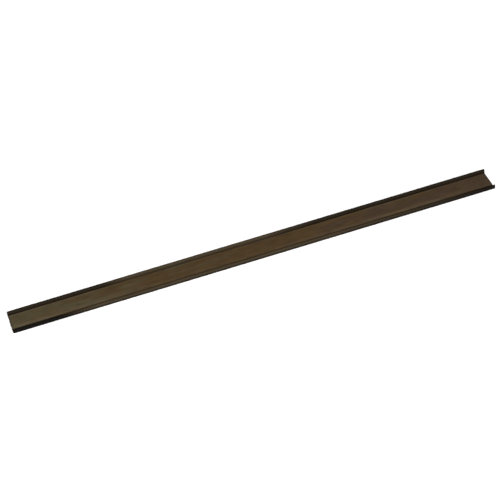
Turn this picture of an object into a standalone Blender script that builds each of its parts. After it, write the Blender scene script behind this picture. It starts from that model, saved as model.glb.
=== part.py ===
"""Door sweep: an adjustable slip-on shoe for the bottom edge of a door.

Every piece is a straight extrusion along X. Y runs from the front of the door (-) to its rear (+),
Z runs up, and the shoe stands on the tips of its three sealing fins. Sections are laid out in
millimetres in the YZ plane.
"""

import math

import bpy
from mathutils import Matrix

MM = 0.001

LENGTH = 914.4

# Width: a 1-3/4 in door drops in between the two legs.
DOOR_THICKNESS = 44.45
DOOR_PLAY = 0.75
LEG_WALL = 1.2
CLEARANCE = 0.3

INNER_HALF = DOOR_THICKNESS / 2 + DOOR_PLAY / 2
OUTER_HALF = INNER_HALF + LEG_WALL

# Sealing fins, from the floor up.
FIN_LENGTH = 5.6
FIN_ROOT = 1.3
FIN_TIP = 0.8
FIN_SPACING = 9.0
FIN_PIVOT_Z = FIN_LENGTH
FIN_NAMES = ("front_fin", "middle_fin", "rear_fin")

# Carrier that the fins hang from.
CARRIER_THICKNESS = 1.1
CARRIER_HALF = 11.5
CARRIER_Z = FIN_PIVOT_Z + FIN_ROOT / 2 + CLEARANCE
SPUR_NECK = 1.2
SPUR_HEAD = 3.0
SPUR_HEAD_THICKNESS = 0.7

# Rails under the channel that hold the carrier's spurs.
RAIL_Y = 8.0
RAIL_WALL = 0.8
RAIL_LIP = 0.6
RAIL_MOUTH = SPUR_NECK + 2 * 0.4
RAIL_CAVITY = SPUR_HEAD + 2 * CLEARANCE
RAIL_CAVITY_DEPTH = SPUR_HEAD_THICKNESS + 2 * CLEARANCE
RAIL_Z = CARRIER_Z + CARRIER_THICKNESS + CLEARANCE

# Layers of the channel's floor: lower layer, pocket with the sliding flange, web.
SHEET = 1.0
LOWER_Z = RAIL_Z + RAIL_LIP + RAIL_CAVITY_DEPTH
POCKET_Z = LOWER_Z + SHEET
FLANGE_Z = POCKET_Z + CLEARANCE
WEB_UNDERSIDE = FLANGE_Z + SHEET + CLEARANCE
WEB_TOP = WEB_UNDERSIDE + SHEET
WEB_FRONT_Y = -13.0
LOWER_FRONT_Y = -13.4
POCKET_END_Y = 11.3
RISER_WALL = 1.0
FLANGE_END_Y = 1.0

# Gasket trough in the pocket's floor.
TROUGH_Y = -2.4
TROUGH_HALF = 1.5
TROUGH_WALL = 0.8
TROUGH_DEPTH = 1.6
GASKET_HALF = TROUGH_HALF - CLEARANCE
GASKET_HEIGHT = TROUGH_DEPTH - CLEARANCE

# Legs lean outwards a little, so that the door finds its way in. Each rises as far above the sheet
# it is bent up from, and the rear one's sheet lies one layer higher.
LEG_FLARE = math.radians(11.0)
FRONT_LEG_HEIGHT = 8.0
REAR_LEG_HEIGHT = FRONT_LEG_HEIGHT + CLEARANCE + SHEET
LEG_CORNER = 0.9
WEB_FILLET = 1.3

# Soft trim pushed over each leg.
LIP_WALL = 0.9
LIP_BEAD = LEG_WALL / 2 + CLEARANCE + LIP_WALL
LIP_OUTER_HEM = 1.4
LIP_INNER_HEM = 3.0

BROWN_ENAMEL = (0.074, 0.048, 0.022, 1.0)
BLACK_VINYL = (0.012, 0.011, 0.010, 1.0)
BROWN_VINYL = (0.030, 0.022, 0.014, 1.0)

# Turns a section drawn in XY, extruded along Z, into one in YZ, extruded along X.
SECTION_TO_WORLD = Matrix(((0, 0, 1, 0), (1, 0, 0, 0), (0, 1, 0, 0), (0, 0, 0, 1)))


def clear_scene():
    for old in list(bpy.data.objects):
        bpy.data.objects.remove(old, do_unlink=True)


def make_collection(name):
    collection = bpy.data.collections.new(name)
    bpy.context.scene.collection.children.link(collection)
    return collection


def make_material(name, colour, roughness, metallic):
    material = bpy.data.materials.new(name)
    material.use_nodes = True
    material.diffuse_color = colour
    shader = material.node_tree.nodes["Principled BSDF"]
    shader.inputs["Base Color"].default_value = colour
    shader.inputs["Roughness"].default_value = roughness
    shader.inputs["Metallic"].default_value = metallic
    return material


def arc(centre, radius, start, end, steps):
    """Points along an arc, angles in degrees from +Y towards +Z."""
    points = []
    for i in range(steps + 1):
        angle = math.radians(start + (end - start) * i / steps)
        y = centre[0] + radius * math.cos(angle)
        z = centre[1] + radius * math.sin(angle)
        points.append((y, z))
    return points


def mirrored(points):
    """The same outline on the other side of the door's middle plane."""
    return [(-y, z) for y, z in reversed(points)]


def on_leg(height, outward):
    """A point of the rear leg: height up along it, outward from its outer face."""
    y = OUTER_HALF + height * math.sin(LEG_FLARE) + outward * math.cos(LEG_FLARE)
    z = FLANGE_Z + height * math.cos(LEG_FLARE) - outward * math.sin(LEG_FLARE)
    return (y, z)


def leg_cap(centre, radius, steps):
    """Half circle over the top of the rear leg, from its inner to its outer face."""
    flare = math.degrees(LEG_FLARE)
    return arc(centre, radius, 180 - flare, -flare, steps)


def corner_centre(face_y, floor_z, radius):
    """Centre of a radius between a level floor and a leg face that meets it at face_y."""
    y = face_y - radius * (1 - math.sin(LEG_FLARE)) / math.cos(LEG_FLARE)
    return (y, floor_z + radius)


def leg_points(floor_z, height):
    """A rear leg from the floor's fillet, over its top and down to its bottom corner."""
    flare = math.degrees(LEG_FLARE)
    inner_y = OUTER_HALF - LEG_WALL / math.cos(LEG_FLARE)
    inner_y += (floor_z - FLANGE_Z) * math.tan(LEG_FLARE)
    fillet = corner_centre(inner_y, floor_z, WEB_FILLET)
    points = arc(fillet, WEB_FILLET, -90, -flare, 5)
    points += leg_cap(on_leg(height, -LEG_WALL / 2), LEG_WALL / 2, 6)
    corner = corner_centre(OUTER_HALF, FLANGE_Z, LEG_CORNER)
    points += arc(corner, LEG_CORNER, -flare, -90, 4)
    return points


def rail_points(y):
    """Underside of one T-slot rail, walked from its rear to its front side."""
    outer = RAIL_CAVITY / 2 + RAIL_WALL
    mouth = RAIL_MOUTH / 2
    cavity = RAIL_CAVITY / 2
    ledge = RAIL_Z + RAIL_LIP
    return [
        (y + outer, LOWER_Z),
        (y + outer, RAIL_Z),
        (y + mouth, RAIL_Z),
        (y + mouth, ledge),
        (y + cavity, ledge),
        (y + cavity, LOWER_Z),
        (y - cavity, LOWER_Z),
        (y - cavity, ledge),
        (y - mouth, ledge),
        (y - mouth, RAIL_Z),
        (y - outer, RAIL_Z),
        (y - outer, LOWER_Z),
    ]


def rear_channel_section():
    """Rear leg, web, and below the web a pocket with two rails on its underside."""
    edge = (WEB_FRONT_Y + SHEET / 2, WEB_TOP - SHEET / 2)
    trough_floor = POCKET_Z - TROUGH_DEPTH
    trough_under = trough_floor - TROUGH_WALL / 2
    trough_outer = TROUGH_HALF + TROUGH_WALL
    points = arc(edge, SHEET / 2, 270, 90, 6)
    points += leg_points(WEB_TOP, REAR_LEG_HEIGHT)
    points += [
        (INNER_HALF - WEB_FILLET, FLANGE_Z),
        (INNER_HALF - WEB_FILLET, WEB_UNDERSIDE),
        (POCKET_END_Y + RISER_WALL, WEB_UNDERSIDE),
        (POCKET_END_Y + RISER_WALL, LOWER_Z),
    ]
    points += rail_points(RAIL_Y)
    points += [
        (TROUGH_Y + trough_outer, LOWER_Z),
        (TROUGH_Y + trough_outer, trough_under),
        (TROUGH_Y - trough_outer, trough_under),
        (TROUGH_Y - trough_outer, LOWER_Z),
    ]
    points += rail_points(-RAIL_Y)
    points += [
        (LOWER_FRONT_Y, LOWER_Z),
        (LOWER_FRONT_Y, POCKET_Z),
        (TROUGH_Y - TROUGH_HALF, POCKET_Z),
        (TROUGH_Y - TROUGH_HALF, trough_floor),
        (TROUGH_Y + TROUGH_HALF, trough_floor),
        (TROUGH_Y + TROUGH_HALF, POCKET_Z),
        (POCKET_END_Y, POCKET_Z),
        (POCKET_END_Y, WEB_UNDERSIDE),
    ]
    return points


def front_leg_section():
    """Front leg with the flange that slides in the pocket."""
    edge = (-FLANGE_END_Y + SHEET / 2, FLANGE_Z + SHEET / 2)
    points = arc(edge, SHEET / 2, 270, 90, 4)
    points += leg_points(FLANGE_Z + SHEET, FRONT_LEG_HEIGHT)
    return mirrored(points)


def lip_section(leg_height):
    """Trim over a rear leg: a deep slot with a rounded bead above it."""
    slot = LEG_WALL / 2 + CLEARANCE
    top = on_leg(leg_height, -LEG_WALL / 2)
    hem = LIP_WALL / 2
    flare = math.degrees(LEG_FLARE)
    inner_hem = on_leg(LIP_INNER_HEM, -LEG_WALL - CLEARANCE - hem)
    outer_hem = on_leg(LIP_OUTER_HEM, CLEARANCE + hem)
    points = leg_cap(top, LIP_BEAD, 10)
    points += arc(outer_hem, hem, -flare, -180 - flare, 4)
    points += reversed(leg_cap(top, slot, 6))
    points += arc(inner_hem, hem, -flare, -180 - flare, 4)
    return points


def gasket_section():
    """Soft strip with a rounded top, lying in the trough under the flange."""
    bottom = POCKET_Z - TROUGH_DEPTH + CLEARANCE
    top = bottom + GASKET_HEIGHT
    points = [(TROUGH_Y - GASKET_HALF, bottom), (TROUGH_Y + GASKET_HALF, bottom)]
    points += arc((TROUGH_Y, top - GASKET_HALF), GASKET_HALF, 0, 180, 8)
    return points


def spur_points(y):
    """T-shaped spur on the carrier's top, walked from its rear to its front side."""
    neck = SPUR_NECK / 2
    head = SPUR_HEAD / 2
    base = CARRIER_Z + CARRIER_THICKNESS
    head_z = RAIL_Z + RAIL_LIP + CLEARANCE
    head_top = head_z + SPUR_HEAD_THICKNESS
    return [
        (y + neck, base),
        (y + neck, head_z),
        (y + head, head_z),
        (y + head, head_top),
        (y - head, head_top),
        (y - head, head_z),
        (y - neck, head_z),
        (y - neck, base),
    ]


def carrier_section():
    """Plate with rounded edges and two spurs that slide into the rails."""
    middle = CARRIER_Z + CARRIER_THICKNESS / 2
    radius = CARRIER_THICKNESS / 2
    centre = CARRIER_HALF - radius
    points = arc((centre, middle), radius, -90, 90, 4)
    points += spur_points(RAIL_Y)
    points += spur_points(-RAIL_Y)
    points += arc((-centre, middle), radius, 90, 270, 4)
    return points


def fin_section():
    """Tapered blade about its own pivot: round root above, round tip on the floor."""
    tip = (0.0, FIN_TIP / 2 - FIN_LENGTH)
    points = arc((0.0, 0.0), FIN_ROOT / 2, 0, 180, 6)
    points += arc(tip, FIN_TIP / 2, 180, 360, 6)
    return points


def make_extrusion(name, points, length, material, collection, pivot=(0.0, 0.0)):
    """Extrudes a closed YZ outline along X, centred on its pivot line."""
    curve = bpy.data.curves.new(name, "CURVE")
    curve.dimensions = "2D"
    curve.fill_mode = "BOTH"
    curve.extrude = length * MM / 2
    spline = curve.splines.new("POLY")
    spline.points.add(len(points) - 1)
    for point, (y, z) in zip(spline.points, points):
        point.co = (y * MM, z * MM, 0.0, 1.0)
    spline.use_cyclic_u = True
    curve.materials.append(material)
    piece = bpy.data.objects.new(name, curve)
    piece.matrix_world = Matrix.Translation((0.0, pivot[0] * MM, pivot[1] * MM)) @ SECTION_TO_WORLD
    collection.objects.link(piece)
    return piece


def make_channel(collection, enamel):
    make_extrusion("rear_channel", rear_channel_section(), LENGTH, enamel, collection)
    make_extrusion("front_leg", front_leg_section(), LENGTH, enamel, collection)


def make_grip_lips(collection, vinyl):
    rear = lip_section(REAR_LEG_HEIGHT)
    front = mirrored(lip_section(FRONT_LEG_HEIGHT))
    make_extrusion("rear_grip_lip", rear, LENGTH, vinyl, collection)
    make_extrusion("front_grip_lip", front, LENGTH, vinyl, collection)


def make_inserts(collection, vinyl):
    make_extrusion("pocket_gasket", gasket_section(), LENGTH, vinyl, collection)
    make_extrusion("fin_carrier", carrier_section(), LENGTH, vinyl, collection)


def make_fins(collection, vinyl):
    for i, name in enumerate(FIN_NAMES):
        y = (i - 1) * FIN_SPACING
        make_extrusion(name, fin_section(), LENGTH, vinyl, collection, pivot=(y, FIN_PIVOT_Z))


def main():
    clear_scene()
    collection = make_collection("door_sweep")
    enamel = make_material("brown_enamel", BROWN_ENAMEL, 0.42, 0.1)
    black_vinyl = make_material("black_vinyl", BLACK_VINYL, 0.4, 0.0)
    brown_vinyl = make_material("brown_vinyl", BROWN_VINYL, 0.5, 0.0)
    make_channel(collection, enamel)
    make_grip_lips(collection, black_vinyl)
    make_inserts(collection, brown_vinyl)
    make_fins(collection, brown_vinyl)


main()
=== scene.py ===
"""Looks of the door sweep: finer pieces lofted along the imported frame's own sections, with procedural
bronze enamel, thinly coated sawn ends and soft vinyl, on a pale floor under soft studio light."""

import math

import bmesh
import bpy
from mathutils import Matrix, Vector, noise
from mathutils.geometry import tessellate_polygon


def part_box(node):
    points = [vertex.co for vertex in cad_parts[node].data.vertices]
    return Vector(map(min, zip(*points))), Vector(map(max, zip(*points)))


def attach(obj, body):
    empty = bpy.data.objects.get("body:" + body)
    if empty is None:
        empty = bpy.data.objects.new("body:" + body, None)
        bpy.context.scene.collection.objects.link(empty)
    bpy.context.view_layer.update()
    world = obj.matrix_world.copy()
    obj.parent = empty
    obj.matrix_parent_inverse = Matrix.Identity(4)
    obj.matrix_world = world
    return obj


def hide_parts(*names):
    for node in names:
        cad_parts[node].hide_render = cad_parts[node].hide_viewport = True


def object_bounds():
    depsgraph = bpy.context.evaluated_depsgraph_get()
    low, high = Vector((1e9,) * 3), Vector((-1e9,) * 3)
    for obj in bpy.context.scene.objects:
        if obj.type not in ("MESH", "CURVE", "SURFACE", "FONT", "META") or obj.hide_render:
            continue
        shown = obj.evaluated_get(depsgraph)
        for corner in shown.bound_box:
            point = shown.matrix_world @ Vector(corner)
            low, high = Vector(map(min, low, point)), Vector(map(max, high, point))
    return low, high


MM = 0.001

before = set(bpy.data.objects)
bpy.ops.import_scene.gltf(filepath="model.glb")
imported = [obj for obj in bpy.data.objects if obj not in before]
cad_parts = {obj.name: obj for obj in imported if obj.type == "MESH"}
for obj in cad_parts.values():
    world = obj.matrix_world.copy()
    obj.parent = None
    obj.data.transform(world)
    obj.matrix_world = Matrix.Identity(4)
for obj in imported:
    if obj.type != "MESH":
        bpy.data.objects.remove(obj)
cad_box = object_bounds()

# Camera.
CAMERA_AIM = Vector((-0.0085, 0.0041, 0.0150))
CAMERA_DISTANCE = 3.5
CAMERA_AZIMUTH = math.radians(-12.5)
CAMERA_ELEVATION = math.radians(39.66)
CAMERA_ROLL = math.radians(-8.67)
CAMERA_LENS = 139.8

# Shape of the lofted pieces, in millimetres.
METAL_EDGE_RADIUS = 0.22
SOFT_EDGE_RADIUS = 0.15
CUT_CHAMFER = 0.08
METAL_STATIONS = 40
SOFT_STATIONS = 180
CORNER_STEPS = 3
SHARP_CORNER = math.radians(38)
ARC_CORNER = math.radians(3)
EQUAL_CHORDS = 0.05

# Places on the sweep, in metres.
HALF_LENGTH = cad_box[1].x
LIP_ROOT_Z = 0.0145
LIP_FREE_HEIGHT = 0.0075
# Where the colour darkens towards each end.
END_DARK_START = HALF_LENGTH - 0.0037
END_DARK_END = HALF_LENGTH - 0.0004
# Heights over which the lips' painted sheen comes in; lower down the lips stay darker, painted shade at
# their bottom.
PAINTED_SHEEN_FROM_Z = 0.0140
PAINTED_SHEEN_FULL_Z = 0.0185

# Stretches of the lips with painted sheen, in X: each comes in over the first pair and goes over the second.
REAR_PAINTED_SHEEN_X = ((-0.290, -0.225), (0.010, 0.125))
FRONT_PAINTED_SHEEN_X = ((-0.375, -0.300), (0.060, 0.540))

# Where paler bands are painted on the channel's floor as highlights, near its front ridge and its rear root.
FRONT_HIGHLIGHT_Y = ((-0.0170, -0.0125), (-0.0100, -0.0040))
REAR_HIGHLIGHT_Y = (0.0170, 0.0215)
LEFT_HIGHLIGHT_X = (-0.36, -0.22)
RIGHT_HIGHLIGHT_X = ((0.0, 0.25), (0.35, 0.43))


# ---------------------------------------------------------------- sections

def end_outline(node):
    """The (y, z) outline of a CAD node's right-hand end, in order, in metres."""
    mesh = bmesh.new()
    mesh.from_mesh(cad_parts[node].data)
    bmesh.ops.remove_doubles(mesh, verts=mesh.verts, dist=0.000005)
    end = max(vertex.co.x for vertex in mesh.verts)
    cap = {f for f in mesh.faces if all(v.co.x > end - 0.00005 for v in f.verts)}
    neighbours = {}
    for edge in mesh.edges:
        if sum(face in cap for face in edge.link_faces) == 1:
            a, b = edge.verts
            neighbours.setdefault(a.index, []).append(b.index)
            neighbours.setdefault(b.index, []).append(a.index)
    mesh.verts.ensure_lookup_table()
    start = min(neighbours)
    order = [start]
    last, here = None, start
    while True:
        step = [n for n in neighbours[here] if n != last][0]
        if step == start:
            break
        order.append(step)
        last, here = here, step
    outline = [Vector((mesh.verts[i].co.y, mesh.verts[i].co.z)) for i in order]
    mesh.free()
    if signed_area(outline) < 0:
        outline.reverse()
    return outline, end


def signed_area(outline):
    total = 0.0
    for a, b in zip(outline, outline[1:] + outline[:1]):
        total += a.x * b.y - b.x * a.y
    return total / 2


def turn_angles(outline):
    """Signed change of direction at each point of a closed outline."""
    angles = []
    for i, point in enumerate(outline):
        before = point - outline[i - 1]
        after = outline[(i + 1) % len(outline)] - point
        angles.append(math.atan2(before.cross(after), before.dot(after)))
    return angles


def on_one_arc(outline, angles, i):
    """Whether the chord from point i is part of an arc: it turns at both ends and has an equal neighbour."""
    count = len(outline)
    before, start, end, after = (outline[(i + k) % count] for k in (-1, 0, 1, 2))
    turns = (angles[i], angles[(i + 1) % count])
    if turns[0] * turns[1] <= 0 or not all(ARC_CORNER < abs(a) < SHARP_CORNER for a in turns):
        return False
    length = (end - start).length
    neighbours = ((start - before).length, (after - end).length)
    return any(abs(length - other) < EQUAL_CHORDS * length for other in neighbours)


def round_arcs(outline):
    """Adds a point on the true arc in the middle of every chord that belongs to one."""
    angles = turn_angles(outline)
    fine = []
    for i, point in enumerate(outline):
        fine.append((point, angles[i]))
        if on_one_arc(outline, angles, i):
            j = (i + 1) % len(outline)
            chord = outline[j] - point
            sagitta = chord.length / 2 * math.tan((angles[i] + angles[j]) / 8)
            outward = Vector((chord.y, -chord.x)).normalized()
            fine.append((point + chord / 2 + outward * sagitta, 0.0))
    return fine


def round_corners(points, radius):
    """Replaces each sharp corner by a small arc. Returns (point, wear) pairs."""
    result = []
    count = len(points)
    for i, (point, angle) in enumerate(points):
        if abs(angle) < SHARP_CORNER:
            result.append((point, 0.0))
            continue
        before = points[i - 1][0] - point
        after = points[(i + 1) % count][0] - point
        reach = min(radius * math.tan(abs(angle) / 2), before.length * 0.45, after.length * 0.45)
        start = point + before.normalized() * reach
        end = point + after.normalized() * reach
        for step in range(CORNER_STEPS + 1):
            t = step / CORNER_STEPS
            curve = start * (1 - t) ** 2 + point * 2 * t * (1 - t) + end * t ** 2
            result.append((curve, 1.0 if angle > 0 else 0.0))
    return result


def outward_normals(outline):
    normals = []
    for i in range(len(outline)):
        along = outline[(i + 1) % len(outline)] - outline[i - 1]
        normals.append(Vector((along.y, -along.x)).normalized())
    return normals


def smooth(low, high, value):
    t = min(1.0, max(0.0, (value - low) / (high - low)))
    return t * t * (3 - 2 * t)


# ---------------------------------------------------------------- lofts

def stations(half_length, count):
    """Distances along X: even ones, and a chamfer's width from each end."""
    chamfer = CUT_CHAMFER * MM
    inner = half_length - chamfer
    middle = [-inner + 2 * inner * i / count for i in range(count + 1)]
    return [-half_length] + middle + [half_length]


def cap_end(mesh, ring):
    """Closes one end of a loft with flat triangles."""
    flat = [Vector((vertex.co.y, vertex.co.z, 0.0)) for vertex in ring]
    for corners in tessellate_polygon([flat]):
        face = mesh.faces.new([ring[i] for i in corners])
        face.material_index = 1


def loft(node, radius, count, waver, painted_sheen, skin, cut):
    """A closed piece along X on a CAD node's outline, with a fine chamfer at its cut ends."""
    outline, half_length = end_outline(node)
    points = round_corners(round_arcs(outline), radius * MM)
    outline = [point for point, wear in points]
    normals = outward_normals(outline)
    wears = [wear for point, wear in points]
    distances = stations(half_length, count)
    mesh = bmesh.new()
    wear_layer = mesh.verts.layers.float.new("wear")
    painted_sheen_layer = mesh.verts.layers.float.new("painted_sheen")
    rings = []
    for x in distances:
        at_end = abs(x) > half_length - 0.5 * CUT_CHAMFER * MM
        ring = []
        for point, normal, wear in zip(outline, normals, wears):
            place = point - normal * CUT_CHAMFER * MM if at_end else point
            place = place + waver(x, point)
            vertex = mesh.verts.new((x, place.x, place.y))
            vertex[wear_layer] = 1.0 if at_end else wear
            # Strength of the painted sheen at this place along the lip.
            vertex[painted_sheen_layer] = painted_sheen(x)
            ring.append(vertex)
        rings.append(ring)
    total = len(outline)
    for ring, following in zip(rings, rings[1:]):
        for i in range(total):
            j = (i + 1) % total
            side = mesh.faces.new((ring[i], ring[j], following[j], following[i]))
            side.smooth = True
    cap_end(mesh, rings[0])
    cap_end(mesh, rings[-1])
    bmesh.ops.recalc_face_normals(mesh, faces=mesh.faces)
    data = bpy.data.meshes.new(node + "_fine")
    mesh.to_mesh(data)
    mesh.free()
    data.set_sharp_from_angle(angle=SHARP_CORNER)
    data.materials.append(skin)
    data.materials.append(cut)
    piece = bpy.data.objects.new(node + "_fine", data)
    bpy.context.scene.collection.objects.link(piece)
    return piece


def straight(x, point):
    return Vector((0.0, 0.0))


def no_painted_sheen(x):
    return 0.0


def painted_sheen_stretch(stretch, x):
    """1 inside a stretch along X, with soft ends."""
    (start, full), (fading, end) = stretch
    return smooth(start, full, x) * (1 - smooth(fading, end, x))


def rear_painted_sheen(x):
    """Painted sheen on the rear lip: full over a stretch left of its middle, and a little everywhere."""
    return 0.32 + 0.68 * painted_sheen_stretch(REAR_PAINTED_SHEEN_X, x)


def front_painted_sheen(x):
    """Painted sheen on the front lip nearly all along, fading slowly to its right end."""
    return 0.86 * painted_sheen_stretch(FRONT_PAINTED_SHEEN_X, x)


def lip_waver(seed):
    """Soft trim is never quite straight: slow swings of its bead, held still at the leg's root."""
    def waver(x, point):
        height = max(0.0, (point.y - LIP_ROOT_Z) / LIP_FREE_HEIGHT)
        swing = noise.noise(Vector((x * 9.0, seed, 0.0))) * 0.16 * MM
        ripple = noise.noise(Vector((x * 55.0, seed, 4.0))) * 0.05 * MM
        return Vector(((swing + ripple) * height, ripple * 0.5 * height))
    return waver


def fin_waver(seed, root_z):
    """A thin blade swings slowly from side to side, most at its tip."""
    def waver(x, point):
        reach = max(0.0, (root_z - point.y) / root_z)
        swing = noise.noise(Vector((x * 7.0, seed, 9.0))) * 0.7 * MM
        ripple = noise.noise(Vector((x * 42.0, seed, 2.0))) * 0.12 * MM
        return Vector(((swing + ripple) * reach ** 1.5, 0.0))
    return waver


# ---------------------------------------------------------------- materials

class Shader:
    """A material with a few short calls for its nodes."""

    def __init__(self, name):
        self.material = bpy.data.materials.new(name)
        self.material.use_nodes = True
        self.tree = self.material.node_tree
        self.surface = self.tree.nodes["Principled BSDF"]
        source = self.tree.nodes.new("ShaderNodeTexCoord")
        self.coordinates = source.outputs["Object"]
        self.normal = source.outputs["Normal"]

    def link(self, source, target):
        self.tree.links.new(source, target)

    def node(self, kind, **inputs):
        made = self.tree.nodes.new(kind)
        for name, value in inputs.items():
            socket = made.inputs[name.replace("_", " ")]
            if isinstance(value, bpy.types.NodeSocket):
                self.link(value, socket)
            else:
                socket.default_value = value
        return made

    def noise(self, scale, detail=3.0, roughness=0.5, distortion=0.0):
        """Noise stretched by a scale for each axis, in 1/m."""
        mapping = self.node("ShaderNodeMapping", Vector=self.coordinates, Scale=scale)
        made = self.node(
            "ShaderNodeTexNoise",
            Vector=mapping.outputs["Vector"],
            Scale=1.0,
            Detail=detail,
            Roughness=roughness,
            Distortion=distortion,
        )
        return made.outputs["Fac"]

    def ramp(self, source, low, high, out_low=0.0, out_high=1.0):
        made = self.node("ShaderNodeMapRange", Value=source)
        made.inputs["From Min"].default_value = low
        made.inputs["From Max"].default_value = high
        made.inputs["To Min"].default_value = out_low
        made.inputs["To Max"].default_value = out_high
        return made.outputs["Result"]

    def math(self, operation, a, b=0.0):
        made = self.tree.nodes.new("ShaderNodeMath")
        made.operation = operation
        for socket, value in zip(made.inputs, (a, b)):
            if isinstance(value, bpy.types.NodeSocket):
                self.link(value, socket)
            else:
                socket.default_value = value
        return made.outputs["Value"]

    def blend(self, factor, a, b, mode="MIX"):
        made = self.tree.nodes.new("ShaderNodeMix")
        made.data_type = "RGBA"
        made.blend_type = mode
        slots = {s.identifier: s for s in made.inputs}
        for key, value in (("Factor_Float", factor), ("A_Color", a), ("B_Color", b)):
            if isinstance(value, bpy.types.NodeSocket):
                self.link(value, slots[key])
            else:
                slots[key].default_value = value
        return [s for s in made.outputs if s.identifier == "Result_Color"][0]

    def attribute(self, name):
        made = self.tree.nodes.new("ShaderNodeAttribute")
        made.attribute_name = name
        return made.outputs["Fac"]

    def axis(self, name, vector=None):
        """One coordinate of a place on the piece, in metres, or of another vector."""
        source = vector or self.coordinates
        return self.node("ShaderNodeSeparateXYZ", Vector=source).outputs[name]

    def set(self, **inputs):
        for name, value in inputs.items():
            socket = self.surface.inputs[name.replace("_", " ")]
            if isinstance(value, bpy.types.NodeSocket):
                self.link(value, socket)
            else:
                socket.default_value = value

    def bump(self, height, strength, distance):
        made = self.node("ShaderNodeBump", Height=height, Strength=strength, Distance=distance)
        self.link(made.outputs["Normal"], self.surface.inputs["Normal"])


def painted_highlight_mask(s):
    """Above 0 on the channel's floor in two bands of painted highlight, near its front ridge and its rear
    root, least mid-length.
    """
    x = s.axis("X")
    y = s.axis("Y")
    rise, fall = RIGHT_HIGHLIGHT_X
    left = s.ramp(x, *LEFT_HIGHLIGHT_X, 1.0, 0.3)
    right = s.math("MULTIPLY", s.ramp(x, *rise), s.ramp(x, *fall, 1.0, 0.2))
    rise, fall = FRONT_HIGHLIGHT_Y
    front = s.math("MULTIPLY", s.ramp(y, *rise), s.ramp(y, *fall, 1.0, 0.0))
    both = s.math("ADD", front, s.ramp(y, *REAR_HIGHLIGHT_Y, 0.0, 0.7))
    both = s.math("MULTIPLY", both, s.math("MAXIMUM", left, right))
    return s.math("MULTIPLY", both, s.ramp(s.axis("Z", s.normal), 0.3, 0.8))


def sawn_mask(s):
    """Rises over the last millimetres before a sawn end, where the colour is darkened."""
    end = s.math("ABSOLUTE", s.axis("X"))
    return s.ramp(end, END_DARK_START, END_DARK_END, 0.0, 0.8)


def brown_enamel():
    """Satin bronze-brown enamel on an extrusion: die lines along it, faint clouding, rubbed edges."""
    s = Shader("brown_enamel")
    cloud = s.noise((14.0, 60.0, 60.0), detail=3.0)
    patches = s.noise((40.0, 160.0, 160.0), detail=4.0, roughness=0.6)
    lines = s.noise((3.0, 900.0, 900.0), detail=3.0, roughness=0.6)
    fine_lines = s.noise((6.0, 3200.0, 3200.0), detail=2.0)
    grain = s.noise((2600.0, 2600.0, 2600.0), detail=2.0)
    scratches = s.ramp(s.noise((14.0, 1400.0, 1400.0), detail=1.0, distortion=0.4), 0.73, 0.78)
    dust = s.ramp(s.noise((900.0, 900.0, 900.0), detail=2.0), 0.70, 0.76)
    olive = (0.0375, 0.0295, 0.0150, 1.0)
    brown = (0.0342, 0.0208, 0.0086, 1.0)
    umber = (0.0300, 0.0192, 0.0114, 1.0)
    drift = s.math("ADD", s.axis("X"), s.ramp(cloud, 0.3, 0.7, -0.24, 0.24))
    colour = s.blend(s.ramp(drift, -0.42, -0.12), olive, brown)
    colour = s.blend(s.ramp(drift, 0.08, 0.36), colour, umber)
    shade = s.ramp(lines, 0.3, 0.7, 0.90, 1.10)
    shade = s.math("MULTIPLY", shade, s.ramp(patches, 0.3, 0.7, 0.82, 1.18))
    shade = s.math("MULTIPLY", shade, s.ramp(fine_lines, 0.3, 0.7, 0.95, 1.05))
    shade = s.math("MULTIPLY", shade, s.ramp(grain, 0.3, 0.7, 0.93, 1.07))
    tinted = s.node("ShaderNodeVectorMath")
    tinted.operation = "SCALE"
    s.link(colour, tinted.inputs[0])
    s.link(shade, tinted.inputs["Scale"])
    # Painted highlight: paler brown bands on the floor of the channel.
    highlighted = s.math("MULTIPLY", painted_highlight_mask(s), s.ramp(patches, 0.3, 0.7, 0.10, 0.26))
    colour = s.blend(highlighted, tinted.outputs["Vector"], (0.105, 0.080, 0.052, 1.0))
    rubbed = s.math("MULTIPLY", s.attribute("wear"), s.ramp(patches, 0.35, 0.6, 0.2, 0.7))
    colour = s.blend(rubbed, colour, (0.16, 0.12, 0.07, 1.0))
    colour = s.blend(sawn_mask(s), colour, (0.014, 0.011, 0.007, 1.0))
    colour = s.blend(s.math("MULTIPLY", scratches, 0.3), colour, (0.13, 0.10, 0.065, 1.0))
    colour = s.blend(s.math("MULTIPLY", dust, 0.2), colour, (0.13, 0.12, 0.10, 1.0))
    rough = s.ramp(lines, 0.3, 0.7, 0.56, 0.66)
    rough = s.math("ADD", rough, s.ramp(patches, 0.3, 0.7, -0.04, 0.05))
    s.set(Base_Color=colour, Roughness=rough, Specular_IOR_Level=0.05)
    relief = s.math("ADD", lines, s.math("MULTIPLY", fine_lines, 0.5))
    s.bump(relief, 0.22, 0.00005)
    return s.material


def cut_aluminium():
    """The sawn end, with the finish run over it thinly: saw marks show through as paler arcs."""
    s = Shader("cut_aluminium")
    marks = s.noise((10.0, 420.0, 5200.0), detail=3.0, distortion=0.3)
    blotches = s.noise((800.0, 800.0, 800.0), detail=3.0)
    colour = s.blend(s.ramp(marks, 0.3, 0.7), (0.070, 0.056, 0.034, 1.0), (0.16, 0.14, 0.11, 1.0))
    colour = s.blend(s.ramp(blotches, 0.5, 0.75, 0.0, 0.7), colour, (0.05, 0.038, 0.020, 1.0))
    s.set(Base_Color=colour, Roughness=s.ramp(marks, 0.3, 0.7, 0.40, 0.58), Metallic=0.6)
    s.bump(marks, 0.4, 0.00006)
    return s.material


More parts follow.
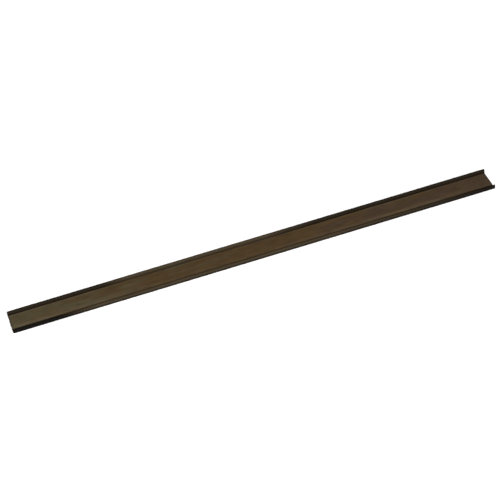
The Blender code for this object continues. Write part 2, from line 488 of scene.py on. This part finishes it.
def black_vinyl():
    """Soft near-black trim: extrusion lines, and a painted brown sheen over stretches of the lips, darker
    towards their bottom as painted shade.
    """
    s = Shader("black_vinyl")
    lines = s.noise((4.0, 1500.0, 1500.0), detail=3.0)
    clouds = s.noise((22.0, 90.0, 90.0), detail=4.0, roughness=0.6)
    grain = s.noise((3400.0, 3400.0, 3400.0), detail=2.0)
    dust = s.ramp(s.noise((700.0, 900.0, 900.0), detail=2.0), 0.69, 0.75)
    black = s.blend(s.ramp(clouds, 0.35, 0.7), (0.0009, 0.0006, 0.0004, 1.0), (0.0024, 0.0017, 0.0010, 1.0))
    # Painted sheen: brown mixed into the black where the lip's stored strength is high, faded towards the
    # lip's bottom as painted shade, and a little darker and redder on upward-facing faces.
    sheen_amount = s.math("MULTIPLY", s.attribute("painted_sheen"), s.ramp(clouds, 0.25, 0.6, 0.75, 1.0))
    sheen_amount = s.math("MULTIPLY", sheen_amount, s.ramp(s.axis("Z"), PAINTED_SHEEN_FROM_Z, PAINTED_SHEEN_FULL_Z, 0.2, 1.0))
    facing_up = s.ramp(s.axis("Z", s.normal), 0.2, 1.0)
    brown = s.blend(facing_up, (0.0255, 0.0187, 0.0108, 1.0), (0.0235, 0.0165, 0.0090, 1.0))
    colour = s.blend(sheen_amount, black, brown)
    colour = s.blend(s.math("MULTIPLY", dust, 0.15), colour, (0.05, 0.043, 0.034, 1.0))
    colour = s.blend(s.math("MULTIPLY", s.attribute("wear"), 0.2), colour, (0.03, 0.026, 0.020, 1.0))
    rough = s.math("ADD", s.ramp(lines, 0.3, 0.7, 0.56, 0.68), s.ramp(clouds, 0.3, 0.7, -0.03, 0.06))
    s.set(Base_Color=colour, Roughness=rough, Specular_IOR_Level=0.02)
    s.bump(s.math("ADD", lines, s.math("MULTIPLY", grain, 0.4)), 0.3, 0.00006)
    return s.material


def brown_vinyl():
    """Matt brown vinyl of the carrier and the fins."""
    s = Shader("brown_vinyl")
    lines = s.noise((4.0, 1100.0, 1100.0), detail=3.0)
    cloud = s.noise((18.0, 80.0, 80.0), detail=4.0)
    grain = s.noise((2800.0, 2800.0, 2800.0), detail=2.0)
    dust = s.ramp(s.noise((600.0, 800.0, 800.0), detail=2.0), 0.66, 0.74)
    colour = s.blend(s.ramp(cloud, 0.35, 0.65), (0.024, 0.017, 0.011, 1.0), (0.036, 0.026, 0.016, 1.0))
    colour = s.blend(s.math("MULTIPLY", dust, 0.35), colour, (0.09, 0.08, 0.07, 1.0))
    colour = s.blend(s.math("MULTIPLY", s.attribute("wear"), 0.3), colour, (0.06, 0.048, 0.034, 1.0))
    s.set(Base_Color=colour, Roughness=s.ramp(lines, 0.3, 0.7, 0.5, 0.66), Specular_IOR_Level=0.3)
    s.bump(s.math("ADD", lines, s.math("MULTIPLY", grain, 0.5)), 0.3, 0.00006)
    return s.material


def cut_vinyl(name, dark, light):
    """A knife-cut end of soft vinyl: duller and slightly paler than the skin."""
    s = Shader(name)
    drag = s.noise((20.0, 500.0, 2600.0), detail=3.0, distortion=0.5)
    s.set(Base_Color=s.blend(s.ramp(drag, 0.3, 0.7), dark, light), Roughness=0.7, Specular_IOR_Level=0.3)
    s.bump(drag, 0.35, 0.00005)
    return s.material


# ---------------------------------------------------------------- the sweep

def place(piece, node, body, slot):
    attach(piece, body)
    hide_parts(node)


def build_sweep():
    skin = {"metal": brown_enamel(), "black": black_vinyl(), "brown": brown_vinyl()}
    cut = {
        "metal": cut_aluminium(),
        "black": cut_vinyl("cut_black_vinyl", (0.010, 0.009, 0.008, 1.0), (0.022, 0.020, 0.018, 1.0)),
        "brown": cut_vinyl("cut_brown_vinyl", (0.026, 0.019, 0.013, 1.0), (0.048, 0.037, 0.026, 1.0)),
    }
    slots = {"metal": "brown_enamel", "black": "black_vinyl", "brown": "brown_vinyl"}
    root_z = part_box("front_fin")[1].z
    pieces = (
        ("rear_channel", "channel", "metal", straight, no_painted_sheen),
        ("front_leg", "sliding_leg", "metal", straight, no_painted_sheen),
        ("rear_grip_lip", "channel", "black", lip_waver(1.7), rear_painted_sheen),
        ("front_grip_lip", "sliding_leg", "black", lip_waver(5.3), front_painted_sheen),
        ("pocket_gasket", "channel", "black", straight, no_painted_sheen),
        ("fin_carrier", "channel", "brown", straight, no_painted_sheen),
        ("front_fin", "fin_front", "brown", fin_waver(2.1, root_z), no_painted_sheen),
        ("middle_fin", "fin_middle", "brown", fin_waver(6.4, root_z), no_painted_sheen),
        ("rear_fin", "fin_rear", "brown", fin_waver(8.8, root_z), no_painted_sheen),
    )
    for node, body, kind, waver, painted_sheen in pieces:
        soft = waver is not straight
        radius = METAL_EDGE_RADIUS if kind == "metal" else SOFT_EDGE_RADIUS
        count = SOFT_STATIONS if soft else METAL_STATIONS
        piece = loft(node, radius, count, waver, painted_sheen, skin[kind], cut[kind])
        place(piece, node, body, slots[kind])


# ---------------------------------------------------------------- studio

def make_floor():
    bpy.ops.mesh.primitive_plane_add(size=14.0, location=(0.0, 0.0, 0.0))
    floor = bpy.context.object
    floor.name = "floor"
    s = Shader("pale_floor")
    tone = s.noise((1.5, 1.5, 1.5), detail=3.0)
    s.set(
        Base_Color=s.blend(s.ramp(tone, 0.3, 0.7), (0.88, 0.88, 0.88, 1.0), (0.90, 0.90, 0.90, 1.0)),
        Roughness=0.9,
        Specular_IOR_Level=0.1,
    )
    floor.data.materials.append(s.material)


def area_light(name, place, size, energy):
    """A rectangular light aimed at the middle of the floor."""
    light = bpy.data.lights.new(name, "AREA")
    light.shape = "RECTANGLE"
    light.size, light.size_y = size
    light.energy = energy
    lamp = bpy.data.objects.new(name, light)
    lamp.location = place
    lamp.rotation_euler = (-Vector(place)).to_track_quat("-Z", "Y").to_euler()
    bpy.context.scene.collection.objects.link(lamp)


def make_light():
    world = bpy.data.worlds.new("studio")
    world.use_nodes = True
    background = world.node_tree.nodes["Background"]
    background.inputs["Color"].default_value = (1.0, 1.0, 1.0, 1.0)
    background.inputs["Strength"].default_value = 0.4
    bpy.context.scene.world = world
    area_light("front_key", (-0.4, -2.4, 2.0), (2.2, 1.0), 250.0)
    area_light("front_low", (-0.2, -2.9, 0.8), (4.5, 0.8), 40.0)


def make_camera():
    toward = Vector(
        (
            math.sin(CAMERA_AZIMUTH) * math.cos(CAMERA_ELEVATION),
            -math.cos(CAMERA_AZIMUTH) * math.cos(CAMERA_ELEVATION),
            math.sin(CAMERA_ELEVATION),
        )
    )
    camera_data = bpy.data.cameras.new("camera")
    camera_data.lens = CAMERA_LENS
    camera_data.clip_end = 50.0
    camera = bpy.data.objects.new("camera", camera_data)
    upright = (-toward).to_track_quat("-Z", "Y").to_matrix().to_4x4()
    roll = Matrix.Rotation(CAMERA_ROLL, 4, "Z")
    camera.matrix_world = Matrix.Translation(CAMERA_AIM + toward * CAMERA_DISTANCE) @ upright @ roll
    bpy.context.scene.collection.objects.link(camera)
    bpy.context.scene.camera = camera


bpy.context.scene.view_settings.view_transform = "Standard"
build_sweep()
make_floor()
make_light()
make_camera()
